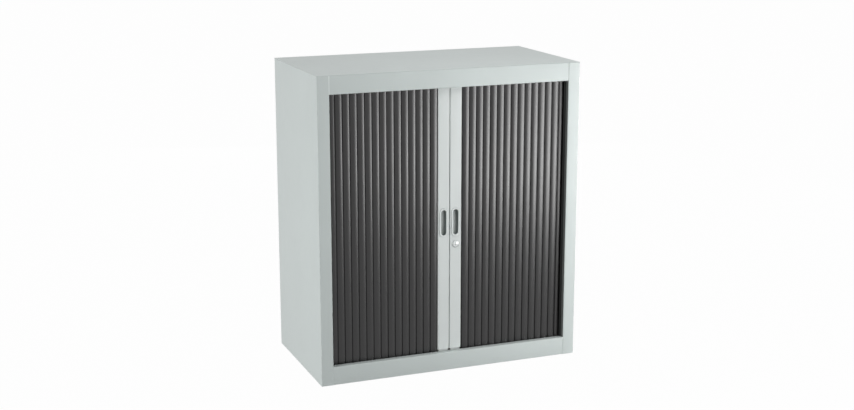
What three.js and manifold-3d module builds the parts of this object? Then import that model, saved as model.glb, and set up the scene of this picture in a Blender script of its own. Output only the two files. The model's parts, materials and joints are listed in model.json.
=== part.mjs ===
import * as THREE from 'three';
import { mergeVertices } from 'three/addons/utils/BufferGeometryUtils.js';
import Module from 'manifold-3d';

const wasm = await Module();
wasm.setup();

// Tambour door cabinet: a folded steel carcase with two curtains of hinged vertical slats.
// Millimetres, +Z up, +X to the right, the front faces -Y, origin at the middle of the base.

// Overall size
const cabinet_width = 900;
const cabinet_depth = 470;
const cabinet_height = 1000;

// Sheet metal
const steel = 1.2;
const inner_bend = 0.8;
const clearance = 0.3;
const overrun = 2;

// Carcase
const stile_width = 40;
const stile_return = 16;
const rail_height = 60;
const seam_gap = 0.8;
const base_lip = 18;
const back_flange = 20;
const base_rear_flange = 18;

// Curtain path: the line of the knuckles, seen from above
const path_front_inset = 29;
const path_bend_radius = 40;
const path_back_inset = 12;

// Slats and their knuckles
const slat_count = 17;
const slat_pitch = 24.5;
const slat_face_gap = 0.7;
const slat_edge_height = 3.6;
const slat_crown_height = 6.4;
const slat_wall = 1.3;
const bead_radius = 1.2;
const knuckle_play = 0.3;
const socket_wall = 0.9;
const neck_thickness = 1;
const slat_end_play = 1;

// Curtain tracks
const track_wall = 2.5;
const track_floor = 2;
const groove_depth = 12;
const groove_play = 1;
const track_end_wall = 3;

// Closing posts
const post_width = 39.5;
const post_depth = 18;
const post_front_offset = 6;
const meeting_gap = 2.5;
const post_lip = 8;
const post_ledge_gap = 6;
const shoe_inset = 4;
const shoe_rise = 12;

// Flush grips
const grip_centre_height = 496;
const grip_width = 29;
const grip_length = 95;
const grip_bezel = 1.7;
const grip_rim = 5.5;
const grip_cup_depth = 12;
const grip_cup_wall = 1.4;

// Lock, with its hook and striker
const lock_grip_gap = 14.2;
const lock_boss_radius = 12.3;
const lock_boss_thickness = 3;
const lock_barrel_radius = 9.5;
const lock_plug_radius = 6.5;
const lock_plug_stand = 0.8;
const keyway_width = 1.6;
const keyway_length = 7;
const keyway_depth = 4;
const tail_radius = 3;
const hook_thickness = 2;
const hook_hub_radius = 8;
const hook_arm_width = 12;
const hook_tip = 4;
const striker_thickness = 1.5;
const striker_height = 44;
const striker_width = 26;
const striker_pin_radius = 2.7;
const striker_pin_edge = 7;

// Inner liners and shelves
const liner_flange = 16;
const shelf_count = 2;
const shelf_edge_height = 25;
const shelf_edge_return = 12;
const shelf_front_gap = 2;

// Levelling feet
const foot_radius = 18;
const foot_thickness = 8;
const foot_stem_radius = 5;
const foot_stem_above_floor = 2;
const foot_inset = 72;

// Facets of round forms
const bend_steps = 2;
const corner_steps = 8;
const face_steps = 7;
const knuckle_steps = 6;
const stadium_steps = 10;
const round_steps = 28;

// Worked out once from the sizes above
const front = -cabinet_depth / 2;
const back = cabinet_depth / 2;
const side = cabinet_width / 2;
const opening_half = side - stile_width - seam_gap;
const hinge_line = front + path_front_inset;
const socket_inner = bead_radius + knuckle_play;
const socket_outer = socket_inner + socket_wall;
const knuckle_room = socket_outer + knuckle_play;
const groove_outer = slat_crown_height + groove_play;
const groove_inner = socket_outer + groove_play;
const path_side_inset = steel + clearance + track_wall + groove_outer;
const track_front = path_front_inset - groove_outer - track_wall;
const track_height = track_floor + groove_depth;
const ledge_depth = track_front - clearance;
const floor_height = rail_height - track_height - clearance;
const curtain_bottom = rail_height - groove_depth + slat_end_play;
const curtain_top = cabinet_height - curtain_bottom;
const liner_inset = path_side_inset + groove_inner + track_wall + clearance + steel;
const liner_front = hinge_line + path_bend_radius;
const back_panel_face = back - steel - clearance - steel;
const inside_back = back_panel_face - clearance;
const under_top = cabinet_height - steel - clearance;
const post_meeting_edge = -meeting_gap / 2;
const post_trailing_edge = post_meeting_edge - post_width;
const post_centre = (post_meeting_edge + post_trailing_edge) / 2;
const post_face = hinge_line - post_front_offset;
const post_rear = post_face + post_depth;
const leading_knuckle = post_trailing_edge - knuckle_room;
const post_bottom = rail_height + post_ledge_gap;
const post_top = cabinet_height - post_bottom;
const lock_height = grip_centre_height - grip_length / 2 - lock_grip_gap - lock_boss_radius;

// Finishes
function finish(hex, roughness, metalness) {
  return () => new THREE.MeshStandardMaterial({ color: hex, roughness, metalness });
}

const carcase_paint = finish(0xc9d0ce, 0.45, 0.1);
const inner_paint = finish(0xc2c9c7, 0.5, 0.1);
const slat_plastic = finish(0x3a3b3d, 0.4, 0);
const track_plastic = finish(0x9aa09f, 0.55, 0);
const grip_plastic = finish(0xb4b9b9, 0.35, 0.2);
const lock_metal = finish(0xd0d2d2, 0.25, 0.9);
const foot_plastic = finish(0x2a2a2a, 0.6, 0);

// Plane geometry
function unit(from, to) {
  const length = Math.hypot(to[0] - from[0], to[1] - from[1]);
  return [(to[0] - from[0]) / length, (to[1] - from[1]) / length];
}

function arc(centre, radius, start, end, steps) {
  return Array.from({ length: steps + 1 }, (_, k) => {
    const angle = start + (end - start) * k / steps;
    return [centre[0] + radius * Math.cos(angle), centre[1] + radius * Math.sin(angle)];
  });
}

function outline(points) {
  return new THREE.Shape(points.map(([x, y]) => new THREE.Vector2(x, y)));
}

function rectangle(x0, y0, x1, y1) {
  return outline([[x0, y0], [x1, y0], [x1, y1], [x0, y1]]);
}

function circle(x, y, radius) {
  return outline(arc([x, y], radius, 0, 2 * Math.PI, round_steps).slice(1));
}

function stadium(x, y, width, length) {
  const radius = width / 2;
  const reach = length / 2 - radius;
  return outline([
    ...arc([x, y + reach], radius, 0, Math.PI, stadium_steps),
    ...arc([x, y - reach], radius, Math.PI, 2 * Math.PI, stadium_steps),
  ]);
}

// A sheet bent along a line of corners: the line is one face, the sheet lies to its left
function folded_sheet(corners) {
  const face = [];
  const reverse = [];
  corners.forEach((corner, index) => {
    const before = corners[index - 1];
    const after = corners[index + 1];
    const incoming = unit(before ?? corner, before ? corner : after);
    if (!before || !after) {
      face.push(corner);
      reverse.push([corner[0] - steel * incoming[1], corner[1] + steel * incoming[0]]);
      return;
    }
    const outgoing = unit(corner, after);
    const turn = Math.atan2(
      incoming[0] * outgoing[1] - incoming[1] * outgoing[0],
      incoming[0] * outgoing[0] + incoming[1] * outgoing[1],
    );
    const hand = Math.sign(turn);
    const face_radius = hand > 0 ? inner_bend + steel : inner_bend;
    const reach = face_radius * Math.tan(Math.abs(turn) / 2);
    const centre = [
      corner[0] - reach * incoming[0] - hand * face_radius * incoming[1],
      corner[1] - reach * incoming[1] + hand * face_radius * incoming[0],
    ];
    const start = Math.atan2(-hand * incoming[0], hand * incoming[1]);
    face.push(...arc(centre, face_radius, start, start + turn, bend_steps));
    reverse.push(...arc(centre, face_radius - hand * steel, start, start + turn, bend_steps));
  });
  return outline([...face, ...reverse.reverse()]);
}

// Solids: a shape pushed along Z, along X (drawn in Y and Z) or along Y (drawn in X and Z)
function along_z(shape, z0, z1) {
  const solid = new THREE.ExtrudeGeometry(shape, { depth: z1 - z0, bevelEnabled: false });
  return solid.translate(0, 0, z0);
}

function along_x(shape, x0, x1) {
  const solid = new THREE.ExtrudeGeometry(shape, { depth: x1 - x0, bevelEnabled: false });
  const turn = new THREE.Matrix4().makeBasis(
    new THREE.Vector3(0, 1, 0), new THREE.Vector3(0, 0, 1), new THREE.Vector3(1, 0, 0),
  );
  return solid.applyMatrix4(turn).translate(x0, 0, 0);
}

function along_y(shape, y0, y1) {
  const solid = new THREE.ExtrudeGeometry(shape, { depth: y1 - y0, bevelEnabled: false });
  const turn = new THREE.Matrix4().makeBasis(
    new THREE.Vector3(1, 0, 0), new THREE.Vector3(0, 0, 1), new THREE.Vector3(0, -1, 0),
  );
  return solid.applyMatrix4(turn).translate(0, y1, 0);
}

function block(x0, x1, y0, y1, z0, z1) {
  return new THREE.BoxGeometry(x1 - x0, y1 - y0, z1 - z0)
    .translate((x0 + x1) / 2, (y0 + y1) / 2, (z0 + z1) / 2);
}

// Cuts and joins
function to_solid(geometry) {
  const bare = geometry.clone();
  bare.deleteAttribute('normal');
  bare.deleteAttribute('uv');
  const merged = mergeVertices(bare);
  return new wasm.Manifold(new wasm.Mesh({
    numProp: 3,
    vertProperties: new Float32Array(merged.attributes.position.array),
    triVerts: new Uint32Array(merged.index.array),
  }));
}

function to_geometry(solid) {
  const mesh = solid.getMesh();
  const geometry = new THREE.BufferGeometry();
  geometry.setAttribute('position', new THREE.BufferAttribute(mesh.vertProperties, 3));
  geometry.setIndex(new THREE.BufferAttribute(mesh.triVerts, 1));
  geometry.computeVertexNormals();
  return geometry;
}

function join(first, ...others) {
  const solid = others.reduce((sum, other) => sum.add(to_solid(other)), to_solid(first));
  return to_geometry(solid);
}

function cut(first, ...cutters) {
  const solid = cutters.reduce((rest, cutter) => rest.subtract(to_solid(cutter)), to_solid(first));
  return to_geometry(solid);
}

// The same piece for the other side: X is turned round, and each face with it
function mirrored(geometry) {
  const copy = mergeVertices(geometry.clone());
  copy.scale(-1, 1, 1);
  const corners = copy.index.array;
  for (let k = 0; k < corners.length; k += 3) {
    [corners[k], corners[k + 1]] = [corners[k + 1], corners[k]];
  }
  copy.computeVertexNormals();
  return copy;
}

// Carcase, each piece drawn for the left where there are two
function side_panel() {
  const section = folded_sheet([
    [-side + back_flange, back],
    [-side, back],
    [-side, front],
    [-side + stile_width, front],
    [-side + stile_width, front + stile_return],
  ]);
  return along_z(section, 0, under_top);
}

function top_panel() {
  const ceiling = cabinet_height - floor_height;
  const flange_end = front + track_front + groove_outer + groove_inner + 2 * track_wall;
  const rail = folded_sheet([
    [back, cabinet_height - back_flange],
    [back, cabinet_height],
    [front, cabinet_height],
    [front, cabinet_height - rail_height],
    [front + ledge_depth, cabinet_height - rail_height],
    [front + ledge_depth, ceiling],
    [flange_end, ceiling],
  ]);
  const sheet = block(-side, side, front, back, cabinet_height - steel, cabinet_height);
  const edge = outline([
    [front - overrun, cabinet_height + overrun],
    [front - overrun, cabinet_height - steel - inner_bend],
    [front, cabinet_height - steel - inner_bend],
    ...arc(
      [front + steel + inner_bend, cabinet_height - steel - inner_bend],
      steel + inner_bend, Math.PI, Math.PI / 2, bend_steps,
    ),
    [front + steel + inner_bend, cabinet_height + overrun],
  ]);
  const rounded = cut(sheet, along_x(edge, -side - overrun, side + overrun));
  const rear_half = side - back_flange - seam_gap;
  const rear_flange = block(
    -rear_half, rear_half, back - steel, back, cabinet_height - back_flange, cabinet_height - steel / 2,
  );
  return join(along_x(rail, -opening_half, opening_half), rounded, rear_flange);
}

function base_panel() {
  const rear = inside_back - steel;
  const folded = folded_sheet([
    [rear, floor_height + base_rear_flange],
    [rear, floor_height],
    [front + ledge_depth, floor_height],
    [front + ledge_depth, rail_height],
    [front, rail_height],
    [front, 0],
    [front + base_lip, 0],
  ]);
  const reach = side - steel - clearance;
  const floor = block(
    -reach, reach, front + ledge_depth + steel, inside_back, floor_height - steel, floor_height,
  );
  const stem_hole = foot_stem_radius + clearance;
  const holes = foot_places().map(([x, y]) => along_z(
    circle(x, y, stem_hole), floor_height - steel - overrun, floor_height + overrun,
  ));
  return cut(join(along_x(folded, -opening_half, opening_half), floor), ...holes);
}

function back_panel() {
  const reach = side - steel - clearance;
  return block(-reach, reach, back_panel_face, back_panel_face + steel, clearance, under_top);
}

function liner() {
  const section = folded_sheet([
    [-side + liner_inset + liner_flange, liner_front],
    [-side + liner_inset, liner_front],
    [-side + liner_inset, inside_back],
  ]);
  return along_z(section, floor_height + clearance, under_top);
}

function shelf(level) {
  const reach = side - liner_inset - clearance;
  const shelf_front = liner_front + shelf_front_gap;
  const shelf_back = inside_back - steel - clearance;
  const section = folded_sheet([
    [shelf_back, level - shelf_edge_height],
    [shelf_back, level],
    [shelf_front, level],
    [shelf_front, level - shelf_edge_height],
    [shelf_front + shelf_edge_return, level - shelf_edge_height],
  ]);
  return along_x(section, -reach, reach);
}

// The band between two offsets from the knuckle line, from the middle round to the back
function path_band(outer, inner, start_gap, back_gap) {
  const centre = [-side + path_side_inset + path_bend_radius, hinge_line + path_bend_radius];
  const end = back - path_back_inset - back_gap;
  const side_line = -side + path_side_inset;
  return outline([
    [-start_gap, hinge_line - outer],
    [-start_gap, hinge_line + inner],
    ...arc(centre, path_bend_radius - inner, 1.5 * Math.PI, Math.PI, corner_steps),
    [side_line + inner, end],
    [side_line - outer, end],
    ...arc(centre, path_bend_radius + outer, Math.PI, 1.5 * Math.PI, corner_steps),
  ].reverse());
}

function bottom_track() {
  const low = floor_height + clearance;
  const high = low + track_height;
  const body = path_band(
    groove_outer + track_wall, groove_inner + track_wall, clearance / 2, 0,
  );
  const groove = path_band(groove_outer, groove_inner, -overrun, track_end_wall);
  return cut(along_z(body, low, high), along_z(groove, low + track_floor, high + overrun));
}

function top_track() {
  const low = cabinet_height - rail_height;
  const high = low + track_height;
  const body = path_band(
    groove_outer + track_wall, groove_inner + track_wall, clearance / 2, 0,
  );
  const groove = path_band(groove_outer, groove_inner, -overrun, track_end_wall);
  return cut(along_z(body, low, high), along_z(groove, low - overrun, high - track_floor));
}

// A slat's section: u runs from its socket to its bead, v points out of the cabinet
const socket_mouth_start = Math.PI * 154 / 180;
const socket_mouth_end = Math.PI * 246 / 180;

function slat_section() {
  const half_chord = (slat_pitch - slat_face_gap) / 2;
  const middle = slat_pitch / 2;
  const rise = slat_crown_height - slat_edge_height;
  const face_radius = (half_chord ** 2 + rise ** 2) / (2 * rise);
  const face_centre = [middle, slat_crown_height - face_radius];
  const spread = Math.asin(half_chord / face_radius);
  const up = Math.PI / 2;
  const face = arc(face_centre, face_radius, up + spread, up - spread, face_steps);
  const web = slat_pitch - knuckle_room;
  const web_inside = web - slat_wall;
  const under_radius = face_radius - slat_wall;
  const under_right = Math.asin((web_inside - middle) / under_radius);
  const socket_shoulder = socket_outer + neck_thickness;
  const under_left = Math.asin((middle - socket_shoulder) / under_radius);
  const under = arc(face_centre, under_radius, up - under_right, up + under_left, face_steps - 2);
  const half_neck = neck_thickness / 2;
  const neck_angle = Math.asin(half_neck / bead_radius);
  const bead = arc(
    [slat_pitch, 0], bead_radius, Math.PI - neck_angle, neck_angle - Math.PI, knuckle_steps,
  );
  const shoulder_angle = Math.PI / 8;
  const socket_out = arc(
    [0, 0], socket_outer, shoulder_angle, socket_mouth_end - 2 * Math.PI, knuckle_steps,
  );
  const socket_in = arc(
    [0, 0], socket_inner, socket_mouth_end - 2 * Math.PI, socket_mouth_start, knuckle_steps + 2,
  );
  const face_start = slat_face_gap / 2;
  const crown_angle = Math.acos(face_start / socket_outer);
  const socket_top = arc([0, 0], socket_outer, socket_mouth_start, crown_angle, 2);
  return outline([
    ...face,
    [slat_pitch - slat_face_gap / 2, knuckle_room],
    [web, knuckle_room],
    [web, half_neck],
    ...bead,
    [web_inside, -half_neck],
    ...under,
    ...socket_out,
    ...socket_in,
    ...socket_top,
  ].reverse());
}

// The knuckles of the left curtain when it is shut, one slat pitch apart along the path
function path_point(distance) {
  const bend_start = -side + path_side_inset + path_bend_radius;
  const flat = leading_knuckle - bend_start;
  if (distance <= flat) {
    return [leading_knuckle - distance, hinge_line];
  }
  const turned = Math.min((distance - flat) / path_bend_radius, Math.PI / 2);
  const beyond = Math.max(distance - flat - path_bend_radius * Math.PI / 2, 0);
  return [
    bend_start - path_bend_radius * Math.sin(turned),
    hinge_line + path_bend_radius * (1 - Math.cos(turned)) + beyond,
  ];
}

function knuckle_after(distance) {
  const from = path_point(distance);
  let near = distance + slat_pitch / 2;
  let far = distance + 2 * slat_pitch;
  while (far - near > clearance * 1e-6) {
    const trial = (near + far) / 2;
    const [x, y] = path_point(trial);
    if (Math.hypot(x - from[0], y - from[1]) < slat_pitch) {
      near = trial;
    } else {
      far = trial;
    }
  }
  return far;
}

function slats() {
  const section = slat_section();
  const pieces = [];
  let distance = 0;
  for (let k = 0; k < slat_count; k += 1) {
    const next = knuckle_after(distance);
    const [x, y] = path_point(distance);
    const [next_x, next_y] = path_point(next);
    const heading = Math.atan2(next_y - y, next_x - x);
    const piece = along_z(section, curtain_bottom, curtain_top).rotateZ(heading);
    pieces.push(piece.translate(x, y, 0));
    distance = next;
  }
  return pieces;
}

// Closing post, drawn for the left door
function closing_post(cutters) {
  const section = folded_sheet([
    [post_trailing_edge + post_lip, post_rear],
    [post_trailing_edge, post_rear],
    [post_trailing_edge, post_face],
    [post_meeting_edge, post_face],
    [post_meeting_edge, post_rear],
    [post_meeting_edge - post_lip, post_rear],
  ]);
  const half_neck = neck_thickness / 2;
  const neck = block(
    leading_knuckle, post_trailing_edge + steel / 2,
    hinge_line - half_neck, hinge_line + half_neck, post_bottom, post_top,
  );
  const bead = along_z(
    outline(arc([leading_knuckle, hinge_line], bead_radius, 0, 2 * Math.PI, 2 * knuckle_steps).slice(1)),
    post_bottom, post_top,
  );
  const shoe_front = post_face + steel / 2;
  const shoe_rear = hinge_line + socket_outer;
  const shoes = [
    [curtain_bottom, post_bottom + shoe_rise],
    [post_top - shoe_rise, curtain_top],
  ].map(([low, high]) => block(
    post_trailing_edge + shoe_inset, post_meeting_edge - shoe_inset, shoe_front, shoe_rear, low, high,
  ));
  return cut(join(along_z(section, post_bottom, post_top), neck, bead, ...shoes), ...cutters);
}

// Flush grip: a bezel on the post's face and a finger cup through it
const cup_width = grip_width - 2 * grip_rim;
const cup_length = grip_length - 2 * grip_rim;
const bezel_rear = post_face - clearance;
const bezel_front = bezel_rear - grip_bezel;
const cup_rear = bezel_front + grip_cup_depth + grip_cup_wall;

function grip_cutter() {
  const room = 2 * (grip_cup_wall + clearance);
  const shape = stadium(post_centre, grip_centre_height, cup_width + room, cup_length + room);
  return along_y(shape, post_face - overrun, post_face + steel + overrun);
}

function grip() {
  const wall = 2 * grip_cup_wall;
  const bezel = along_y(
    stadium(post_centre, grip_centre_height, grip_width, grip_length), bezel_front, bezel_rear,
  );
  const cup = along_y(
    stadium(post_centre, grip_centre_height, cup_width + wall, cup_length + wall),
    bezel_front + grip_bezel / 2, cup_rear,
  );
  const hollow = along_y(
    stadium(post_centre, grip_centre_height, cup_width, cup_length),
    bezel_front - overrun, cup_rear - grip_cup_wall,
  );
  return cut(join(bezel, cup), hollow);
}

// Lock on the right post, in line with the grips
const lock_x = -post_centre;
const boss_rear = post_face - clearance;
const boss_front = boss_rear - lock_boss_thickness;
const hook_front = post_rear + clearance + striker_thickness + clearance;
const hook_rear = hook_front + hook_thickness;
const barrel_rear = hook_front - clearance;

function lock_cutter() {
  const shape = circle(lock_x, lock_height, lock_barrel_radius + clearance);
  return along_y(shape, post_face - overrun, post_face + steel + overrun);
}

function lock_housing() {
  const boss = along_y(circle(lock_x, lock_height, lock_boss_radius), boss_front, boss_rear);
  const barrel = along_y(
    circle(lock_x, lock_height, lock_barrel_radius), boss_front + lock_boss_thickness / 2, barrel_rear,
  );
  const bore = along_y(
    circle(lock_x, lock_height, lock_plug_radius + clearance),
    boss_front - overrun, barrel_rear + overrun,
  );
  return cut(join(boss, barrel), bore);
}

function lock_plug() {
  const plug = along_y(
    circle(lock_x, lock_height, lock_plug_radius), boss_front - lock_plug_stand, barrel_rear,
  );
  const tail = along_y(
    circle(lock_x, lock_height, tail_radius), barrel_rear - overrun, hook_rear + hook_thickness,
  );
  const keyway = along_y(
    rectangle(
      lock_x - keyway_width / 2, lock_height - keyway_length / 2,
      lock_x + keyway_width / 2, lock_height + keyway_length / 2,
    ),
    boss_front - lock_plug_stand - overrun, boss_front - lock_plug_stand + keyway_depth,
  );
  return cut(join(plug, tail), keyway);
}

// The hook hangs down while unlocked; a quarter turn puts its mouth over the striker's pin
const striker_right = post_meeting_edge - inner_bend - steel;
const striker_pin_x = striker_right - striker_pin_edge;
const hook_reach = lock_x - striker_pin_x;

function lock_cam() {
  const mouth = striker_pin_radius + clearance;
  const tip = hook_reach + mouth + hook_tip;
  const trailing = lock_x + hook_arm_width - mouth;
  const leading = lock_x - mouth - hook_tip / 2;
  const arm = rectangle(leading, lock_height - tip, trailing, lock_height);
  const slot = rectangle(
    leading - overrun, lock_height - hook_reach - mouth,
    lock_x, lock_height - hook_reach + mouth,
  );
  const hub = circle(lock_x, lock_height, hook_hub_radius);
  const solid = join(along_y(arm, hook_front, hook_rear), along_y(hub, hook_front, hook_rear));
  return cut(
    solid,
    along_y(slot, hook_front - overrun, hook_rear + overrun),
    along_y(circle(lock_x, lock_height - hook_reach, mouth), hook_front - overrun, hook_rear + overrun),
    along_y(
      circle(lock_x, lock_height, tail_radius + clearance),
      hook_front - overrun, hook_rear + overrun,
    ),
  );
}

function striker_plate() {
  const plate_front = post_rear + clearance;
  const plate = block(
    striker_right - striker_width, striker_right,
    plate_front, plate_front + striker_thickness,
    lock_height - striker_height / 2, lock_height + striker_height / 2,
  );
  const pin = along_y(
    circle(striker_pin_x, lock_height, striker_pin_radius),
    plate_front + striker_thickness / 2, hook_rear + hook_thickness,
  );
  return join(plate, pin);
}

// Levelling feet: a pad on a threaded stem that passes up through the floor
function foot_places() {
  const across = side - foot_inset;
  const along = cabinet_depth / 2 - foot_inset;
  return [[-across, -along], [across, -along], [-across, along], [across, along]];
}

function foot([x, y]) {
  const profile = [
    [0, 0],
    [foot_radius - inner_bend, 0],
    [foot_radius, inner_bend],
    [foot_radius, foot_thickness / 2],
    [foot_stem_radius * 2, foot_thickness],
    [foot_stem_radius, foot_thickness],
    [foot_stem_radius, floor_height + foot_stem_above_floor],
    [0, floor_height + foot_stem_above_floor],
  ].map(([radius, height]) => new THREE.Vector2(radius, height));
  return new THREE.LatheGeometry(profile, round_steps / 2).rotateX(Math.PI / 2).translate(x, y, 0);
}

// Assembly
const cabinet = new THREE.Group();

function add(name, geometry, material) {
  const mesh = new THREE.Mesh(geometry, material());
  mesh.name = name;
  cabinet.add(mesh);
}

function add_pair(name, geometry, material) {
  add(`left_${name}`, geometry, material);
  add(`right_${name}`, mirrored(geometry), material);
}

add_pair('side_panel', side_panel(), carcase_paint);
add('top_panel', top_panel(), carcase_paint);
add('base_panel', base_panel(), carcase_paint);
add('back_panel', back_panel(), carcase_paint);
add_pair('liner', liner(), inner_paint);
add_pair('bottom_track', bottom_track(), track_plastic);
add_pair('top_track', top_track(), track_plastic);

const inner_height = cabinet_height - rail_height - floor_height;
for (let k = 1; k <= shelf_count; k += 1) {
  const level = floor_height + inner_height * k / (shelf_count + 1);
  add(`shelf_${k}`, shelf(level), inner_paint);
}

slats().forEach((geometry, index) => {
  add_pair(`slat_${String(index + 1).padStart(2, '0')}`, geometry, slat_plastic);
});

add('left_closing_post', closing_post([grip_cutter()]), carcase_paint);
const right_cutters = [grip_cutter(), mirrored(lock_cutter())];
add('right_closing_post', mirrored(closing_post(right_cutters)), carcase_paint);
add_pair('grip', grip(), grip_plastic);
add('lock_housing', lock_housing(), lock_metal);
add('lock_plug', lock_plug(), lock_metal);
add('lock_cam', lock_cam(), lock_metal);
add('striker_plate', striker_plate(), lock_metal);

const foot_names = ['front_left_foot', 'front_right_foot', 'rear_left_foot', 'rear_right_foot'];
foot_places().forEach((place, index) => {
  add(foot_names[index], foot(place), foot_plastic);
});

export default cabinet;
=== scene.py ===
import json
import math

import bmesh
import bpy
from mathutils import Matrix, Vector


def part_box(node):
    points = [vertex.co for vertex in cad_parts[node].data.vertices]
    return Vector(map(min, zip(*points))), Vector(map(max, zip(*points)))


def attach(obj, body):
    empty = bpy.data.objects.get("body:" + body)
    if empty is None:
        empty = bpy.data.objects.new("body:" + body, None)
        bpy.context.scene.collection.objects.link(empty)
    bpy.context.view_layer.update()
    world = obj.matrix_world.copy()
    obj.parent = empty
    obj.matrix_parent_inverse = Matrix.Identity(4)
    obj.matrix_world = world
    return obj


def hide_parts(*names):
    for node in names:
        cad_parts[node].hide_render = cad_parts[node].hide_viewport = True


# Tambour door cabinet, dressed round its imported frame. Sizes are in millimetres until
# a mesh, a modifier, a lamp or the camera is made, which are in metres.

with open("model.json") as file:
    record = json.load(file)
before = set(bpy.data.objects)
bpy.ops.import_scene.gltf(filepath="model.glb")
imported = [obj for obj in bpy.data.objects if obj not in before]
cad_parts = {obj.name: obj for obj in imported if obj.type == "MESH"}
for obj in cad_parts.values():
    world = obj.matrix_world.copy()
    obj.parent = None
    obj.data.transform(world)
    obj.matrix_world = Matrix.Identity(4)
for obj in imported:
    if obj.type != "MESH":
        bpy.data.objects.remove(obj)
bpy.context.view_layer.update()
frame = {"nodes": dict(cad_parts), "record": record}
nodes = frame["nodes"]
node_body = {n: b for b, members in frame["record"]["behaviour"]["bodies"].items() for n in members}
scene = bpy.context.scene
MM = 0.001

# ---------------------------------------------------------------- sizes, as in the solids
width, depth, height = 900, 470, 1000
side, front, back = width / 2, -depth / 2, depth / 2
steel, inner_bend, clearance = 1.2, 0.8, 0.3
stile_width, stile_return, rail_height, seam_gap = 40, 16, 60, 0.8
back_flange, base_lip, base_rear_flange = 20, 18, 18
path_front_inset, path_bend_radius, path_back_inset = 29, 40, 12
slat_count, slat_pitch, slat_groove = 17, 24.5, 3.6
slat_face_angle, slat_shoulder, groove_floor = math.radians(14), 0.8, 1.95
slat_crown, slat_wall, bead_radius, knuckle_play = 6.4, 1.3, 1.2, 0.3
socket_wall, neck = 0.9, 1
track_wall, track_floor, groove_depth, groove_play, track_end_wall = 2.5, 2, 12, 1, 3
post_width, post_depth, post_front_offset, meeting_gap, post_lip = 39.5, 18, 6, 2.5, 8
post_ledge_gap = 6
grip_centre, grip_width, grip_length, grip_bezel, grip_rim, grip_cup = 496, 29, 95, 1.7, 5.5, 12
grip_gap, grip_wall, lock_gap = 0.8, 1.4, 14.2
boss_radius, boss_thickness, barrel_radius, plug_radius, plug_stand = 12.3, 3, 9.5, 6.5, 0.8
liner_flange, shelf_edge, shelf_return, shelf_front_gap, shelf_count = 16, 25, 12, 2, 2
foot_radius, foot_thickness, stem_radius, foot_inset = 18, 8, 5, 72
# and of the small parts and lines that only this model has
top_rail_set_back, joint_gap, joint_top_gap, joint_rear_gap = 0.8, 0.4, 1.6, 1
# the fills of the top joints carry painted light: a painted highlight on the left, painted shade on
# the right
painted_highlight_seam_recess, plain_seam_recess, painted_shade_seam_recess = 0.15, 0.2, 0.9
strip_front_gap, strip_overlap, brush_reach, brush_rear_gap = 1.6, 0.1, 5.5, 0.2
slot_pitch, slot_length, slot_width, slot_count = 32, 14, 3, 27
slot_row_inset, first_slot, slot_cut = 42, 60, 4
clip_sheet, clip_arm, clip_drop, clip_half, clip_play = 1.5, 14, 20, 8, 1.6
shoe_inset, shoe_rise, shoe_play, cap_inset, cap_gap = 4, 12, 0.1, 0.1, 0.6
plug_crown, plug_edge, keyway_width, keyway_length, keyway_depth = 0.85, 1.0, 1.6, 7, 4
thread_pitch, thread_depth, thread_flank = 1.6, 0.75, 0.45
rivet_inset, rivet_base = 34, 34

opening_half = side - stile_width - seam_gap
hinge_line = front + path_front_inset
socket_inner = bead_radius + knuckle_play
socket_outer = socket_inner + socket_wall
knuckle_room = socket_outer + knuckle_play
groove_outer = slat_crown + groove_play
groove_inner = socket_outer + groove_play
path_side_inset = steel + clearance + track_wall + groove_outer
track_front = path_front_inset - groove_outer - track_wall
ledge_depth = track_front - clearance
track_height = track_floor + groove_depth
floor_height = rail_height - track_height - clearance
curtain_bottom = rail_height - groove_depth + 1
curtain_top = height - curtain_bottom
liner_inset = path_side_inset + groove_inner + track_wall + clearance + steel
liner_front = hinge_line + path_bend_radius
inside_back = back - 2 * steel - 2 * clearance
under_top = height - steel - clearance
post_meeting = -meeting_gap / 2
post_trailing = post_meeting - post_width
post_centre = (post_meeting + post_trailing) / 2
post_face = hinge_line - post_front_offset
post_rear = post_face + post_depth
leading_knuckle = post_trailing - knuckle_room
post_bottom = rail_height + post_ledge_gap
post_top = height - post_bottom
lock_height = grip_centre - grip_length / 2 - lock_gap - boss_radius
bezel_rear = post_face - clearance
bezel_front = bezel_rear - grip_bezel


# ---------------------------------------------------------------- plane geometry
def arc(centre, radius, start, end, steps):
    return [
        (
            centre[0] + radius * math.cos(start + (end - start) * k / steps),
            centre[1] + radius * math.sin(start + (end - start) * k / steps),
        )
        for k in range(steps + 1)
    ]


def unit(a, b):
    length = math.hypot(b[0] - a[0], b[1] - a[1])
    return (b[0] - a[0]) / length, (b[1] - a[1]) / length


def folded_sheet(corners, steps=6, thickness=steel):
    """The outline of a sheet bent at the corners: the line is one face, its left the other."""
    face, reverse = [], []
    for k, corner in enumerate(corners):
        if k in (0, len(corners) - 1):
            along = unit(corner, corners[1]) if k == 0 else unit(corners[-2], corner)
            face.append(corner)
            reverse.append((corner[0] - thickness * along[1], corner[1] + thickness * along[0]))
            continue
        before, after = unit(corners[k - 1], corner), unit(corner, corners[k + 1])
        turn = math.atan2(
            before[0] * after[1] - before[1] * after[0],
            before[0] * after[0] + before[1] * after[1],
        )
        hand = math.copysign(1, turn)
        radius = inner_bend + thickness if hand > 0 else inner_bend
        reach = radius * math.tan(abs(turn) / 2)
        centre = (
            corner[0] - reach * before[0] - hand * radius * before[1],
            corner[1] - reach * before[1] + hand * radius * before[0],
        )
        start = math.atan2(-hand * before[0], hand * before[1])
        face += arc(centre, radius, start, start + turn, steps)
        reverse += arc(centre, radius - hand * thickness, start, start + turn, steps)
    return face + reverse[::-1]


def stadium(x, z, w, length, steps=14):
    radius, reach = w / 2, length / 2 - w / 2
    return arc((x, z + reach), radius, 0, math.pi, steps) + arc(
        (x, z - reach), radius, math.pi, 2 * math.pi, steps
    )


def circle(x, z, radius, steps=48):
    return arc((x, z), radius, 0, 2 * math.pi, steps)[:-1]


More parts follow.
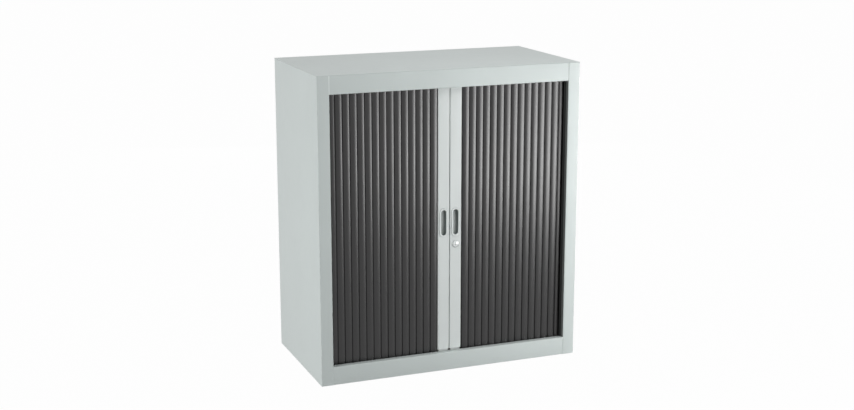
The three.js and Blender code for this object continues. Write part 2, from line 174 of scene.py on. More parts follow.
# ---------------------------------------------------------------- solids as (points, faces)
def place(axis, a, b, t):
    return {"x": (t, a, b), "y": (a, t, b), "z": (a, b, t)}[axis]


def prism(outline, low, high, axis="z"):
    n = len(outline)
    points = [place(axis, a, b, t) for t in (low, high) for a, b in outline]
    walls = [[k, (k + 1) % n, n + (k + 1) % n, n + k] for k in range(n)]
    return points, [list(range(n))[::-1], list(range(n, 2 * n)), *walls]


def loft(rings):
    """Closed rings of as many points each, joined in turn, with a cap on the first and the last."""
    n = len(rings[0])
    points = [p for ring in rings for p in ring]
    faces = [list(range(n))[::-1], list(range((len(rings) - 1) * n, len(rings) * n))]
    for r in range(len(rings) - 1):
        low, high = r * n, (r + 1) * n
        faces += [[low + k, low + (k + 1) % n, high + (k + 1) % n, high + k] for k in range(n)]
    return points, faces


def turned(profile, centre, axis="z", steps=48):
    """A solid of revolution: profile is (radius, place on the axis), from one end to the other."""
    return loft([
        [
            place(axis, centre[0] + a, centre[1] + b, t)
            for a, b in circle(0, 0, max(radius, 0.01), steps)
        ]
        for radius, t in profile
    ])


def turned_ring(profile, centre, axis, steps=48):
    """A ring of revolution: its last circle is joined to its first, and it has no caps."""
    points, faces = turned(profile, centre, axis, steps)
    last = len(points) - steps
    joint = [[k, (k + 1) % steps, last + (k + 1) % steps, last + k] for k in range(steps)]
    return points, faces[2:] + joint


def box(x0, x1, y0, y1, z0, z1):
    return prism([(x0, y0), (x1, y0), (x1, y1), (x0, y1)], z0, z1)


def together(*solids):
    points, faces = [], []
    for p, f in solids:
        faces += [[k + len(points) for k in face] for face in f]
        points += p
    return points, faces


def mirrored(solid):
    points, faces = solid
    return [(-x, y, z) for x, y, z in points], [face[::-1] for face in faces]


# ---------------------------------------------------------------- pieces
def mesh_of(name, solid, smooth=32):
    points, faces = solid
    mesh = bpy.data.meshes.new(name)
    mesh.from_pydata([[c * MM for c in p] for p in points], [], faces)
    work = bmesh.new()
    work.from_mesh(mesh)
    bmesh.ops.recalc_face_normals(work, faces=work.faces)
    work.to_mesh(mesh)
    work.free()
    mesh.shade_smooth()
    mesh.set_sharp_from_angle(angle=math.radians(smooth))
    return mesh


def edge_round(obj, amount, segments=2, angle=40):
    bevel = obj.modifiers.new("edge_round", "BEVEL")
    bevel.width = amount * MM
    bevel.segments = segments
    bevel.limit_method = "ANGLE"
    bevel.angle_limit = math.radians(angle)
    bevel.harden_normals = True
    return obj


def piece(name, solid, body, material, replaces=(), rounding=0, smooth=32, holes=None):
    obj = bpy.data.objects.new(name, mesh_of(name, solid, smooth))
    scene.collection.objects.link(obj)
    if holes:
        drill(obj, holes, smooth)
    obj.data.materials.append(material)
    if rounding:
        edge_round(obj, rounding)
    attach(obj, body)
    if replaces:
        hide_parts(*replaces)
    return obj


def drill(obj, solid, smooth):
    cutter = bpy.data.objects.new("cutter", mesh_of("cutter", solid))
    scene.collection.objects.link(cutter)
    boolean = obj.modifiers.new("holes", "BOOLEAN")
    boolean.operation, boolean.solver, boolean.object = "DIFFERENCE", "EXACT", cutter
    shown = obj.evaluated_get(bpy.context.evaluated_depsgraph_get())
    shaped = bpy.data.meshes.new_from_object(shown)
    obj.modifiers.clear()
    obj.data = shaped
    shaped.shade_smooth()
    shaped.set_sharp_from_angle(angle=math.radians(smooth))
    bpy.data.objects.remove(cutter)


# ---------------------------------------------------------------- materials
def material_with(name, colour, roughness, metallic=0.0, ior=1.5):
    material = bpy.data.materials.new(name)
    material.use_nodes = True
    tree = material.node_tree
    shader = tree.nodes["Principled BSDF"]
    shader.inputs["Base Color"].default_value = (*colour, 1)
    shader.inputs["Roughness"].default_value = roughness
    shader.inputs["Metallic"].default_value = metallic
    shader.inputs["IOR"].default_value = ior
    return material, tree, shader


def noise(tree, scale, stretch=(1, 1, 1), detail=3.0):
    coords = tree.nodes.new("ShaderNodeTexCoord")
    mapping = tree.nodes.new("ShaderNodeMapping")
    mapping.inputs["Scale"].default_value = stretch
    texture = tree.nodes.new("ShaderNodeTexNoise")
    texture.inputs["Scale"].default_value = scale
    texture.inputs["Detail"].default_value = detail
    texture.inputs["Roughness"].default_value = 0.55
    tree.links.new(coords.outputs["Object"], mapping.inputs["Vector"])
    tree.links.new(mapping.outputs["Vector"], texture.inputs["Vector"])
    return texture.outputs["Fac"]


def spread(tree, source, low, high):
    """The source, which varies about 0.5, spread over low to high."""
    ramp = tree.nodes.new("ShaderNodeMapRange")
    ramp.inputs["From Min"].default_value = 0.3
    ramp.inputs["From Max"].default_value = 0.7
    ramp.inputs["To Min"].default_value = low
    ramp.inputs["To Max"].default_value = high
    tree.links.new(source, ramp.inputs["Value"])
    return ramp.outputs["Result"]


def tint(tree, shader, source, dark, light):
    mix = tree.nodes.new("ShaderNodeMix")
    mix.data_type = "RGBA"
    mix.inputs["A"].default_value = (*dark, 1)
    mix.inputs["B"].default_value = (*light, 1)
    tree.links.new(source, mix.inputs["Factor"])
    tree.links.new(mix.outputs["Result"], shader.inputs["Base Color"])


def relief(tree, shader, source, strength, distance):
    bump = tree.nodes.new("ShaderNodeBump")
    bump.inputs["Strength"].default_value = strength
    bump.inputs["Distance"].default_value = distance
    tree.links.new(source, bump.inputs["Height"])
    tree.links.new(bump.outputs["Normal"], shader.inputs["Normal"])


def shade(colour, amount):
    return tuple(c * amount for c in colour)


def powder_coat(name, colour, roughness=0.42):
    """Sprayed and baked paint, with a faint cloud and a fine peel."""
    material, tree, shader = material_with(name, colour, roughness, ior=1.45)
    cloud = spread(tree, noise(tree, 5, detail=2), 0, 1)
    tint(tree, shader, cloud, shade(colour, 0.985), shade(colour, 1.015))
    peel = noise(tree, 620, detail=2)
    sheen = spread(tree, noise(tree, 40), roughness - 0.03, roughness + 0.03)
    tree.links.new(sheen, shader.inputs["Roughness"])
    relief(tree, shader, peel, 0.12, 0.0002)
    return material


def moulded(name, colour, roughness, strength=0.1):
    """Moulded plastic, or pile, with a fine grain."""
    material, tree, shader = material_with(name, colour, roughness, ior=1.46)
    cloud = spread(tree, noise(tree, 18), 0, 1)
    tint(tree, shader, cloud, shade(colour, 0.94), shade(colour, 1.06))
    sheen = spread(tree, noise(tree, 120), roughness - 0.04, roughness + 0.04)
    tree.links.new(sheen, shader.inputs["Roughness"])
    relief(tree, shader, noise(tree, 900, detail=4), strength, 0.00015)
    return material


def extruded(name, colour, roughness, ior=1.46):
    """Plastic drawn through a die, with fine lines along Z."""
    material, tree, shader = material_with(name, colour, roughness, ior=ior)
    lines = noise(tree, 1, (1400, 1400, 6), detail=2)
    cloud = spread(tree, noise(tree, 1, (60, 60, 3)), 0, 1)
    tint(tree, shader, cloud, shade(colour, 0.93), shade(colour, 1.07))
    sheen = spread(tree, lines, roughness - 0.05, roughness + 0.05)
    tree.links.new(sheen, shader.inputs["Roughness"])
    relief(tree, shader, lines, 0.08, 0.0001)
    return material


def plated(name, colour, roughness, stretch=(1, 1, 1)):
    """Plated metal, with fine lines across the stretch."""
    material, tree, shader = material_with(name, colour, roughness, metallic=1.0)
    lines = noise(tree, 500, stretch)
    sheen = spread(tree, lines, roughness * 0.75, roughness * 1.25)
    tree.links.new(sheen, shader.inputs["Roughness"])
    tint(tree, shader, spread(tree, noise(tree, 60), 0, 1), shade(colour, 0.95), colour)
    relief(tree, shader, lines, 0.05, 0.0001)
    return material


paint = powder_coat("carcase_powder_coat", (0.578, 0.632, 0.62))
post_paint = powder_coat("post_powder_coat", (0.668, 0.707, 0.697))
# a pale coat, a painted highlight for the top left joint
seam_painted_highlight = powder_coat("seam_painted_highlight", (0.79, 0.84, 0.83))
# a dark coat, painted shade for the top right joint
seam_painted_shade = powder_coat("seam_painted_shade", (0.30, 0.32, 0.31))
inner_paint = powder_coat("inner_powder_coat", (0.555, 0.605, 0.595), 0.48)
slat_plastic = extruded("slat_extrusion", (0.0040, 0.0038, 0.0041), 0.285, ior=1.56)
track_plastic = moulded("track_moulding", (0.30, 0.325, 0.315), 0.5)
shoe_plastic = moulded("shoe_moulding", (0.50, 0.53, 0.52), 0.5)
cap_plastic = moulded("cap_moulding", (0.72, 0.76, 0.75), 0.45)
grip_plastic = moulded("grip_moulding", (0.70, 0.74, 0.73), 0.3, strength=0.05)
# painted shade on the wall of the cup of each grip
cup_wall_shade_plastic = moulded("grip_cup_wall_painted_shade", (0.178, 0.21, 0.204), 0.5, strength=0.05)
# a milder painted shade on the floor of the cup of each grip
cup_floor_shade_plastic = moulded("grip_cup_floor_painted_shade", (0.45, 0.485, 0.475), 0.45, strength=0.05)
seal_pile = moulded("seal_pile", (0.10, 0.108, 0.105), 0.8)
brush_hair = extruded("brush_hair", (0.013, 0.0145, 0.014), 0.8)
chrome = plated("lock_plating", (0.60, 0.62, 0.615), 0.18)
housing_metal = plated("lock_housing_plating", (0.43, 0.45, 0.445), 0.4)
zinc = plated("zinc_plating", (0.62, 0.63, 0.62), 0.32, (1, 1, 6))
foot_plastic = moulded("foot_moulding", (0.018, 0.018, 0.019), 0.55)


# ---------------------------------------------------------------- carcase
side_section = folded_sheet([
    (-side + back_flange, back), (-side, back), (-side, front),
    (-side + stile_width, front), (-side + stile_width, front + stile_return),
])
side_solid = prism(side_section, 0, under_top)
piece("left_side_sheet", side_solid, "cabinet", paint, ["left_side_panel"], 0.25)
piece("right_side_sheet", mirrored(side_solid), "cabinet", paint,
      ["right_side_panel"], 0.25)

ceiling = height - floor_height
flange_end = front + track_front + groove_outer + groove_inner + 2 * track_wall
rail_face = front + top_rail_set_back
top_rail = prism(folded_sheet([
    (front + inner_bend + 4, height - steel / 2), (rail_face, height - steel / 2),
    (rail_face, height - rail_height), (front + ledge_depth, height - rail_height),
    (front + ledge_depth, ceiling), (flange_end, ceiling),
]), -opening_half, opening_half, "x")
bend = inner_bend + steel
top_sheet = prism(
    [(back, height), (back, height - steel), (front, height - steel)]
    + arc((front + bend, height - bend), bend, math.pi * 0.87, math.pi / 2, 6),
    -side, side, "x",
)
rear_half = side - back_flange - seam_gap
top_rear = box(-rear_half, rear_half, back - steel, back, height - back_flange, height - steel / 2)
piece("top_sheet", together(top_rail, top_sheet, top_rear), "cabinet", paint,
      ["top_panel"], 0.2)

base_rear = inside_back - steel
base_fold = prism(folded_sheet([
    (base_rear, floor_height + base_rear_flange), (base_rear, floor_height),
    (front + ledge_depth, floor_height), (front + ledge_depth, rail_height),
    (front, rail_height), (front, 0), (front + base_lip, 0),
]), -opening_half, opening_half, "x")
base_reach = side - steel - clearance
base_wings = [
    box(s * opening_half, s * base_reach, front + ledge_depth + steel, inside_back,
        floor_height - steel, floor_height)
    for s in (-1, 1)
]
piece("base_sheet", together(base_fold, *base_wings), "cabinet", paint,
      ["base_panel"], 0.2)

# the welded joints between the stiles and the rails, rubbed down but for a fine line
stile_edge = side - stile_width
stile_bend = stile_edge + inner_bend + steel
joint_rear = front + stile_return - joint_rear_gap
top_joint = (height - rail_height + joint_gap, height - joint_top_gap)
bottom_joint = (joint_gap, rail_height - joint_gap)
between_rails = (rail_height + joint_gap, height - rail_height - joint_gap)


def seam(hand, outer, recess, low, high):
    return box(min(hand * opening_half, hand * outer), max(hand * opening_half, hand * outer),
               front + recess, joint_rear, low, high)


bottom_seams = together(seam(-1, stile_bend, plain_seam_recess, *bottom_joint),
                        seam(1, stile_edge, plain_seam_recess, *bottom_joint))
piece("bottom_seams", bottom_seams, "cabinet", paint)
# the top left joint is filled in a pale coat, a painted highlight of the lit edge of the stile
piece("top_left_seam", seam(-1, stile_bend, painted_highlight_seam_recess, *top_joint), "cabinet",
      seam_painted_highlight)
# the top right joint is filled in a dark coat, painted shade beside the stile's edge, and set
# deeper for some real shade as well
piece("top_right_seam", seam(1, stile_edge, painted_shade_seam_recess, *top_joint), "cabinet",
      seam_painted_shade)
# dark pile strips on the inner faces of the stiles, beside the curtains
strip = box(-stile_edge, -opening_half - strip_overlap, front + strip_front_gap, joint_rear,
            *between_rails)
piece("left_stile_seal", strip, "cabinet", seal_pile)
piece("right_stile_seal", mirrored(strip), "cabinet", seal_pile)
# and a brush behind each, which narrows the gap to the curtain
brush = box(-stile_edge, -opening_half + brush_reach, joint_rear,
            front + track_front + groove_play - brush_rear_gap, *between_rails)
piece("left_stile_brush", brush, "cabinet", brush_hair)
piece("right_stile_brush", mirrored(brush), "cabinet", brush_hair)

back_low, back_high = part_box("back_panel")
back_solid = box(back_low.x / MM, back_high.x / MM, back_low.y / MM, back_high.y / MM,
                 back_low.z / MM, back_high.z / MM)
piece("back_sheet", back_solid, "cabinet", paint, ["back_panel"], 0.2)

# ---------------------------------------------------------------- liners and shelves
liner_section = folded_sheet([
    (-side + liner_inset + liner_flange, liner_front), (-side + liner_inset, liner_front),
    (-side + liner_inset, inside_back),
])
liner_solid = prism(liner_section, floor_height + clearance, under_top)
slot_rows = (liner_front + slot_row_inset, inside_back - slot_row_inset)
slot_levels = [floor_height + first_slot + slot_pitch * k for k in range(slot_count)]
liner_x = -side + liner_inset
liner_slots = together(*[
    prism([(y - slot_width / 2, z - slot_length / 2), (y + slot_width / 2, z - slot_length / 2),
           (y + slot_width / 2, z + slot_length / 2), (y - slot_width / 2, z + slot_length / 2)],
          liner_x - slot_cut, liner_x + slot_cut, "x")
    for y in slot_rows for z in slot_levels
])
piece("left_liner_sheet", liner_solid, "cabinet", inner_paint, ["left_liner"],
      holes=liner_slots)
piece("right_liner_sheet", mirrored(liner_solid), "cabinet", inner_paint,
      ["right_liner"], holes=mirrored(liner_slots))

inner_height = height - rail_height - floor_height
shelf_reach = side - liner_inset - clearance
shelf_front = liner_front + shelf_front_gap
shelf_back = inside_back - steel - clearance
clip_x = liner_x + clearance
for k in range(1, shelf_count + 1):
    level = floor_height + inner_height * k / (shelf_count + 1)
    section = folded_sheet([
        (shelf_back, level - shelf_edge), (shelf_back, level), (shelf_front, level),
        (shelf_front, level - shelf_edge), (shelf_front + shelf_return, level - shelf_edge),
    ])
    piece(f"shelf_{k}_sheet", prism(section, -shelf_reach, shelf_reach, "x"), "cabinet",
          inner_paint, [f"shelf_{k}"], 0.2)
    seat = folded_sheet([
        (clip_x + clip_arm, level - steel - clip_play),
        (clip_x + clip_sheet, level - steel - clip_play),
        (clip_x + clip_sheet, level - steel - clip_drop),
    ], 4, clip_sheet)
    for hand in ("left", "right"):
        for row, y in enumerate(slot_rows):
            clip = prism(seat, y - clip_half, y + clip_half, "y")
            piece(f"shelf_{k}_clip_{hand}_{row + 1}", clip if hand == "left" else mirrored(clip),
                  "cabinet", zinc, (), 0.15)


# ---------------------------------------------------------------- curtain tracks
def path_line(offset, steps):
    """The left curtain's path, moved outwards by offset, from the middle to the back."""
    centre = (-side + path_side_inset + path_bend_radius, hinge_line + path_bend_radius)
    bend_points = arc(centre, path_bend_radius + offset, 1.5 * math.pi, math.pi, steps)
    end = (-side + path_side_inset - offset, back - path_back_inset)
    return [(-clearance / 2, hinge_line - offset), *bend_points, end]


def track(low, high, opens_up):
    """A channel swept along the path, with its far end closed."""
    lip = 0.5
    outer, inner = groove_outer + track_wall, -groove_inner - track_wall
    near, far = (high, low + track_floor) if opens_up else (low, high - track_floor)
    shut = low if opens_up else high
    step = -lip if opens_up else lip
    section = [
        (outer, shut), (outer, near + step), (outer - lip, near), (groove_outer + lip, near),
        (groove_outer, near + step), (groove_outer, far), (-groove_inner, far),
        (-groove_inner, near + step), (-groove_inner - lip, near), (inner + lip, near),
        (inner, near + step), (inner, shut),
    ]
    lines = [path_line(offset, 24) for offset, _ in section]
    rings = [
        [(*lines[k][j], z) for k, (_, z) in enumerate(section)] for j in range(len(lines[0]))
    ]
    x = -side + path_side_inset
    end = back - path_back_inset
    end_wall = box(x - groove_outer, x + groove_inner, end - track_end_wall, end,
                   min(near, far), max(near, far))
    return together(loft(rings), end_wall)


track_low = floor_height + clearance
bottom_track = track(track_low, track_low + track_height, True)
top_track = track(height - rail_height, height - rail_height + track_height, False)
for label, solid in (("bottom", bottom_track), ("top", top_track)):
    for hand, made in (("left", solid), ("right", mirrored(solid))):
        piece(f"{hand}_{label}_channel", made, "cabinet", track_plastic,
              [f"{hand}_{label}_track"])


# ---------------------------------------------------------------- curtain slats
def slat_section():
    """u runs from the socket to the bead, v out of the cabinet."""
    half = (slat_pitch - slat_groove) / 2
    middle = slat_pitch / 2
    up = math.pi / 2
    # a shallow arc, which a shoulder turns down to the wall of the groove on each side
    inner = (half - slat_shoulder) / math.sin(slat_face_angle)
    face_radius = inner + slat_shoulder
    face_centre = (middle, slat_crown - face_radius)
    shoulder_at = (half - slat_shoulder, face_centre[1] + inner * math.cos(slat_face_angle))
    left_at, right_at = middle - shoulder_at[0], middle + shoulder_at[0]
    left = arc((left_at, shoulder_at[1]), slat_shoulder, math.pi, up + slat_face_angle, 6)
    face = arc(face_centre, face_radius, up + slat_face_angle, up - slat_face_angle, 18)
    right = arc((right_at, shoulder_at[1]), slat_shoulder, up - slat_face_angle, 0, 6)
    web = slat_pitch - knuckle_room
    half_neck = neck / 2
    neck_angle = math.asin(half_neck / bead_radius)
    bead = arc((slat_pitch, 0), bead_radius, math.pi - neck_angle, neck_angle - math.pi, 12)
    socket_start, mouth_start, mouth_end = math.pi / 8, math.radians(154), math.radians(246)
    under = [
        (web - slat_wall, -half_neck), (web - slat_wall, 3.4),
        (middle + 5, slat_crown - slat_wall - 0.35), (middle, slat_crown - slat_wall),
        (middle - 5, slat_crown - slat_wall - 0.35), (socket_outer + neck, 3.4),
    ]
    socket_out = arc((0, 0), socket_outer, socket_start, mouth_end - 2 * math.pi, 14)
    socket_in = arc((0, 0), socket_inner, mouth_end - 2 * math.pi, mouth_start, 14)
    groove_side = math.acos(slat_groove / 2 / socket_outer)
    socket_top = arc((0, 0), socket_outer, mouth_start, groove_side, 8)
    socket_top = [(u, min(v, groove_floor)) for u, v in socket_top]
    return [
        *left, *face[1:-1], *right, (slat_pitch - slat_groove / 2, knuckle_room),
        (web, knuckle_room), (web, half_neck), *bead, *under, *socket_out, *socket_in, *socket_top,
    ]


def path_point(distance):
    bend_start = -side + path_side_inset + path_bend_radius
    flat = leading_knuckle - bend_start
    if distance <= flat:
        return leading_knuckle - distance, hinge_line
    turned_by = min((distance - flat) / path_bend_radius, math.pi / 2)
    beyond = max(distance - flat - path_bend_radius * math.pi / 2, 0)
    return (
        bend_start - path_bend_radius * math.sin(turned_by),
        hinge_line + path_bend_radius * (1 - math.cos(turned_by)) + beyond,
    )


def knuckle_after(distance):
    start, near, far = path_point(distance), distance + slat_pitch / 2, distance + 2 * slat_pitch
    for _ in range(50):
        trial = (near + far) / 2
        x, y = path_point(trial)
        if math.hypot(x - start[0], y - start[1]) < slat_pitch:
            near = trial
        else:
            far = trial
    return far


section = slat_section()
distance = 0
for k in range(1, slat_count + 1):
    following = knuckle_after(distance)
    x, y = path_point(distance)
    next_x, next_y = path_point(following)
    heading = math.atan2(next_y - y, next_x - x)
    c, s = math.cos(heading), math.sin(heading)
    outline = [(x + u * c - v * s, y + u * s + v * c) for u, v in section]
    solid = prism(outline, curtain_bottom, curtain_top)
    for hand, made in (("left", solid), ("right", mirrored(solid))):
        node = f"{hand}_slat_{k:02d}"
        piece(f"{node}_extrusion", made, node_body[node], slat_plastic, [node], smooth=38)
    distance = following

# ---------------------------------------------------------------- closing posts
post_section = folded_sheet([
    (post_trailing + post_lip, post_rear), (post_trailing, post_rear), (post_trailing, post_face),
    (post_meeting, post_face), (post_meeting, post_rear), (post_meeting - post_lip, post_rear),
])
post_solid = prism(post_section, post_bottom, post_top)
hole_cut = (post_face - 3, post_face + 3, "y")
grip_hole = prism(stadium(post_centre, grip_centre, grip_width + 2 * grip_gap,
                          grip_length + 2 * grip_gap), *hole_cut)
lock_hole = prism(circle(post_centre, lock_height, barrel_radius + clearance), *hole_cut)
piece("left_post_sheet", post_solid, "left_door", post_paint,
      ["left_closing_post"], holes=grip_hole)
piece("right_post_sheet", mirrored(post_solid), "right_door", post_paint,
      ["right_closing_post"], holes=mirrored(together(grip_hole, lock_hole)))

bead_strip = together(
    box(leading_knuckle, post_trailing + steel / 2, hinge_line - neck / 2, hinge_line + neck / 2,
        post_bottom, post_top),
    prism(circle(leading_knuckle, hinge_line, bead_radius, 24), post_bottom, post_top),
)
shoes = together(*[
    box(post_trailing + shoe_inset, post_meeting - shoe_inset, post_face + steel + shoe_play,
        hinge_line + socket_outer, low, high)
    for low, high in ((curtain_bottom, post_bottom + shoe_rise),
                      (post_top - shoe_rise, curtain_top))
])
cap = box(post_trailing + cap_inset, post_meeting - cap_inset, post_face, post_face + steel,
          post_top, height - rail_height - cap_gap)
for hand, turn in (("left", lambda s: s), ("right", mirrored)):
    piece(f"{hand}_post_bead", turn(bead_strip), f"{hand}_door", slat_plastic)
    piece(f"{hand}_post_shoes", turn(shoes), f"{hand}_door", shoe_plastic, (), 0.5)
    piece(f"{hand}_post_cap", turn(cap), f"{hand}_door", cap_plastic, (), 0.3)


# ---------------------------------------------------------------- flush grips
def stadium_ring(inset, y, steps=20):
    return [(x, y, z) for x, z in stadium(post_centre, grip_centre, grip_width - 2 * inset,
                                          grip_length - 2 * inset, steps)]


cup_floor = bezel_front + grip_cup
cup_outside = grip_rim - grip_wall
# each profile is (inset from the edge of the bezel, place along Y)
grip_profile = [
    (cup_outside + 1.4, cup_floor + grip_wall), (cup_outside + 0.4, cup_floor + 1),
    (cup_outside, cup_floor - 1), (cup_outside, post_face + 3.2),
    (0.1, post_face + 3.2), (0, post_face + 3), (0, bezel_front + 0.75), (0.12, bezel_front + 0.4),
    (0.4, bezel_front + 0.14), (0.85, bezel_front), (1.5, bezel_front), (2.4, bezel_front + 0.12),
    (3.4, bezel_front + 0.16), (4.2, bezel_front + 0.1), (4.7, bezel_front + 0.12),
    (5.15, bezel_front + 0.35), (5.42, bezel_front + 0.8), (grip_rim, bezel_front + 1.5),
    (grip_rim + 0.25, cup_floor - 3.2), (grip_rim + 0.5, cup_floor - 1.7),
    (grip_rim + 1.1, cup_floor - 0.6), (grip_rim + 2.0, cup_floor - 0.1),
    (grip_rim + 3.2, cup_floor),
]
grip_solid = loft([stadium_ring(inset, y) for inset, y in grip_profile])
piece("left_grip_moulding", grip_solid, "left_door", grip_plastic, ["left_grip"],
      smooth=50)
piece("right_grip_moulding", mirrored(grip_solid), "right_door", grip_plastic,
      ["right_grip"], smooth=50)
# the wall of the cup is lined in a dark colour, painted shade in the recess, and its floor has a
# paler pan, a milder painted shade
cup_wall_shade_profile = [
    (grip_rim + 3.2, cup_floor - 0.05), (grip_rim + 2.05, cup_floor - 0.15),
    (grip_rim + 1.15, cup_floor - 0.65), (grip_rim + 0.55, cup_floor - 1.75),
    (grip_rim + 0.3, cup_floor - 3.2), (grip_rim + 0.05, bezel_front + 1.7),
    (grip_rim + 0.35, bezel_front + 1.65), (grip_rim + 0.6, cup_floor - 3.2),
    (grip_rim + 0.85, cup_floor - 1.9), (grip_rim + 1.4, cup_floor - 0.95),
    (grip_rim + 2.2, cup_floor - 0.45), (grip_rim + 3.3, cup_floor - 0.35),
]
cup_floor_shade_profile = [
    (grip_rim + 0.95, cup_floor - 0.3), (grip_rim + 0.95, cup_floor - 0.9),
    (grip_rim + 1.2, cup_floor - 1.1),
]
cup_wall_shade = loft([stadium_ring(inset, y) for inset, y in cup_wall_shade_profile])
cup_floor_shade = loft([stadium_ring(inset, y) for inset, y in cup_floor_shade_profile])
piece("left_grip_cup_wall_shade", cup_wall_shade, "left_door", cup_wall_shade_plastic, smooth=50)
piece("right_grip_cup_wall_shade", mirrored(cup_wall_shade), "right_door", cup_wall_shade_plastic, smooth=50)
# the pan, a milder painted shade on the floor of the cup
piece("left_grip_cup_floor_shade", cup_floor_shade, "left_door", cup_floor_shade_plastic, smooth=50)
piece("right_grip_cup_floor_shade", mirrored(cup_floor_shade), "right_door", cup_floor_shade_plastic, smooth=50)

# ---------------------------------------------------------------- lock
lock_at = (-post_centre, lock_height)
boss_rear = post_face - clearance
boss_front = boss_rear - boss_thickness
barrel_rear = post_rear + clearance + 1.5
bore = plug_radius + clearance
housing = turned_ring([
    (bore, barrel_rear), (barrel_radius, barrel_rear), (barrel_radius, boss_rear),
    (boss_radius - 0.1, boss_rear), (boss_radius, boss_rear - 0.3),
    (boss_radius - 0.15, boss_rear - 1.0),
    (boss_radius - 0.6, boss_rear - 1.7), (boss_radius - 1.3, boss_rear - 2.3),
    (boss_radius - 2.2, boss_front + 0.25), (boss_radius - 3.0, boss_front + 0.05),
    (boss_radius - 3.6, boss_front), (bore + 0.6, boss_front), (bore + 0.15, boss_front + 0.1),
    (bore, boss_front + 0.4), (bore, barrel_rear - 0.01),
], lock_at, "y")
piece("lock_housing_turning", housing, "right_door", housing_metal,
      ["lock_housing"], smooth=50)

plug_front = boss_front - plug_stand
dome_edge = plug_front + plug_crown
dome_radius = plug_radius - plug_edge
plug = turned([
    (3, barrel_rear + 6), (3, barrel_rear), (plug_radius, barrel_rear),
    (plug_radius, boss_front + 0.5),
    (plug_radius - 0.15, dome_edge + 0.3), (plug_radius - 0.5, dome_edge + 0.1),
    *[(dome_radius * k / 5, plug_front + plug_crown * (k / 5) ** 2) for k in range(5, -1, -1)],
], lock_at, "y")
keyway = box(
    lock_at[0] - keyway_width / 2, lock_at[0] + keyway_width / 2,
    plug_front - 2, plug_front + keyway_depth,
    lock_height - keyway_length / 2, lock_height + keyway_length / 2,
)
piece("lock_plug_turning", plug, "lock", chrome, ["lock_plug"], smooth=50,
      holes=keyway)


def dress(node, material, rounding):
    """The solid itself stays, with its material and rounded edges."""
    obj = nodes[node]
    obj.data.materials.clear()
    obj.data.materials.append(material)
    edge_round(obj, rounding)


dress("lock_cam", zinc, 0.25)
dress("striker_plate", zinc, 0.25)


# ---------------------------------------------------------------- levelling feet
def foot(x, y):
    """The pad, and the stem with its thread drawn as grooves."""
    pad = turned([
        (0, 0), (foot_radius - 1.2, 0), (foot_radius - 0.35, 0.35), (foot_radius, 1.2),
        (foot_radius, foot_thickness / 2 - 0.6), (foot_radius - 0.5, foot_thickness / 2),
        (stem_radius * 2 + 0.6, foot_thickness - 0.5), (stem_radius * 2 - 0.4, foot_thickness),
        (0, foot_thickness),
    ], (x, y))
    top, root = floor_height + 2, stem_radius - thread_depth
    thread = []
    level = foot_thickness
    while level < top - 0.05:
        thread += [(root, level), (stem_radius, level + thread_pitch * thread_flank),
                   (stem_radius, level + thread_pitch * (1 - thread_flank))]
        level += thread_pitch
    profile = [(0, foot_thickness - 0.5), *thread, (root, top), (0, top)]
    return pad, turned(profile, (x, y), "z", 24)


across, along = side - foot_inset, depth / 2 - foot_inset
for name, x, y in (("front_left_foot", -across, -along), ("front_right_foot", across, -along),
                   ("rear_left_foot", -across, along), ("rear_right_foot", across, along)):
    pad, stem = foot(x, y)
    piece(f"{name}_pad", pad, name, foot_plastic, [name])
    piece(f"{name}_stem", stem, name, zinc)


# ---------------------------------------------------------------- rivets along the back panel
def rivet(x, z):
    face = back - steel - clearance
    return turned([
        (3.2, face), (3.1, face + 0.5), (2.5, face + 1.0), (1.6, face + 1.25), (0, face + 1.3),
    ], (x, z), "y", 24)


rivets = [rivet(s * (side - rivet_inset), z) for s in (-1, 1) for z in (60, 280, 500, 720, 940)]
rivets += [rivet(x, rivet_base) for x in (-210, 0, 210)]
piece("back_rivets", together(*rivets), "cabinet", paint, smooth=60)

# ---------------------------------------------------------------- floor, world, lights, camera
# The floor keeps a share of its own shade, for the shadow, and is white for the rest.
floor_shade, white_share, floor_reach, floor_drop = 0.22, 0.985, 40, 0.0003
ambient_strength, backdrop_strength = 0.25, 1.0

stage_material = bpy.data.materials.new("studio_floor")
stage_material.use_nodes = True
tree = stage_material.node_tree
tree.nodes.clear()
output = tree.nodes.new("ShaderNodeOutputMaterial")
diffuse = tree.nodes.new("ShaderNodeBsdfDiffuse")
diffuse.inputs["Color"].default_value = (floor_shade, floor_shade, floor_shade, 1)
glow = tree.nodes.new("ShaderNodeEmission")
glow.inputs["Color"].default_value = (1, 1, 1, 1)
seen = tree.nodes.new("ShaderNodeMixShader")
path = tree.nodes.new("ShaderNodeLightPath")


def either(tree, a, b):
    node = tree.nodes.new("ShaderNodeMath")
    node.operation = "MAXIMUM"
    tree.links.new(a, node.inputs[0])
    tree.links.new(b, node.inputs[1])
    return node.outputs[0]


def looked_at(tree, path):
    """1 for what the camera sees, straight or in a gloss, and 0 for the light on the object."""
    return either(tree, path.outputs["Is Camera Ray"],
                  either(tree, path.outputs["Is Glossy Ray"], path.outputs["Is Transmission Ray"]))


share = tree.nodes.new("ShaderNodeMath")
share.operation = "MULTIPLY"
share.inputs[1].default_value = white_share
tree.links.new(looked_at(tree, path), share.inputs[0])
tree.links.new(share.outputs[0], seen.inputs["Fac"])
tree.links.new(diffuse.outputs[0], seen.inputs[1])
tree.links.new(glow.outputs[0], seen.inputs[2])
tree.links.new(seen.outputs[0], output.inputs["Surface"])
floor_mesh = bpy.data.meshes.new("floor")
floor_corners = [(-1, -1), (1, -1), (1, 1), (-1, 1)]
floor_mesh.from_pydata([(x * floor_reach, y * floor_reach, -floor_drop) for x, y in floor_corners],
                       [], [(0, 1, 2, 3)])
floor = bpy.data.objects.new("floor", floor_mesh)
floor_mesh.materials.append(stage_material)
scene.collection.objects.link(floor)

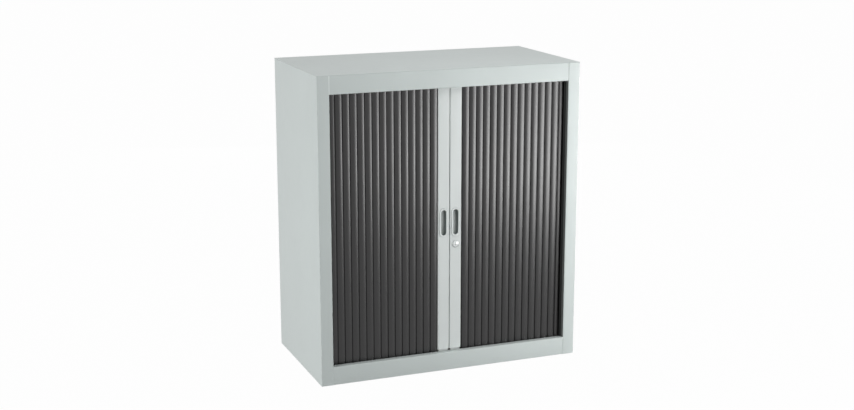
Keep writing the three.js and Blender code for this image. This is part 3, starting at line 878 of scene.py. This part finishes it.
world = bpy.data.worlds.new("studio")
scene.world = world
world.use_nodes = True
tree = world.node_tree
tree.nodes.clear()
output = tree.nodes.new("ShaderNodeOutputWorld")
ambient = tree.nodes.new("ShaderNodeBackground")
ambient.inputs["Color"].default_value = (1, 1, 1, 1)
ambient.inputs["Strength"].default_value = ambient_strength
backdrop = tree.nodes.new("ShaderNodeBackground")
backdrop.inputs["Color"].default_value = (1, 1, 1, 1)
backdrop.inputs["Strength"].default_value = backdrop_strength
mix = tree.nodes.new("ShaderNodeMixShader")
path = tree.nodes.new("ShaderNodeLightPath")
tree.links.new(looked_at(tree, path), mix.inputs["Fac"])
tree.links.new(ambient.outputs[0], mix.inputs[1])
tree.links.new(backdrop.outputs[0], mix.inputs[2])
tree.links.new(mix.outputs[0], output.inputs["Surface"])


def softbox(name, location, target, size, power):
    data = bpy.data.lights.new(name, "AREA")
    data.shape = "RECTANGLE"
    data.size, data.size_y = size
    data.energy = power
    obj = bpy.data.objects.new(name, data)
    obj.location = location
    obj.rotation_mode = "QUATERNION"
    obj.rotation_quaternion = (Vector(target) - Vector(location)).to_track_quat("-Z", "Y")
    obj.visible_camera = False
    scene.collection.objects.link(obj)
    return obj


softbox("front_right", (1.24, -1.77, 0.5), (0.1, -0.21, 0.6), (0.8, 0.8), 7.8)
softbox("low_right", (1.68, -1.4, 0.6), (0.1, -0.21, 0.6), (0.7, 0.9), 14.4)
softbox("floor_right", (1.3, -1.6, 0.25), (0.1, -0.21, 0.4), (0.8, 0.4), 5.0)
softbox("high_middle", (0.3, -1.0, 1.9), (0.15, -0.21, 0.7), (0.6, 0.6), 5.3)
softbox("fill_left", (-3.4, -1.2, 1.6), (-0.3, 0, 0.5), (2.0, 2.0), 22)
softbox("low_left", (-3.2, -0.6, 0.5), (-0.45, 0, 0.3), (2.4, 0.9), 43)
softbox("top", (0.2, 0.4, 3.6), (0, 0, 1.0), (2.0, 2.0), 18)
softbox("fill_right", (3.2, 0.4, 0.55), (0.4, 0.1, 0.5), (2.8, 0.9), 24)
softbox("behind", (1.1, 3.6, 0.52), (0, 0.2, 0.5), (3.0, 0.9), 50)

camera_data = bpy.data.cameras.new("camera")
camera_data.sensor_width = 36
camera_data.lens = 59.8
camera = bpy.data.objects.new("camera", camera_data)
camera.location = (-1.719, -4.343, 1.607)
yaw, pitch_down = 0.3779, 0.2312
forward = Vector((math.sin(yaw) * math.cos(pitch_down), math.cos(yaw) * math.cos(pitch_down),
                  -math.sin(pitch_down)))
camera.rotation_mode = "QUATERNION"
camera.rotation_quaternion = forward.to_track_quat("-Z", "Y")
scene.collection.objects.link(camera)
scene.camera = camera

scene.view_settings.view_transform = "Standard"
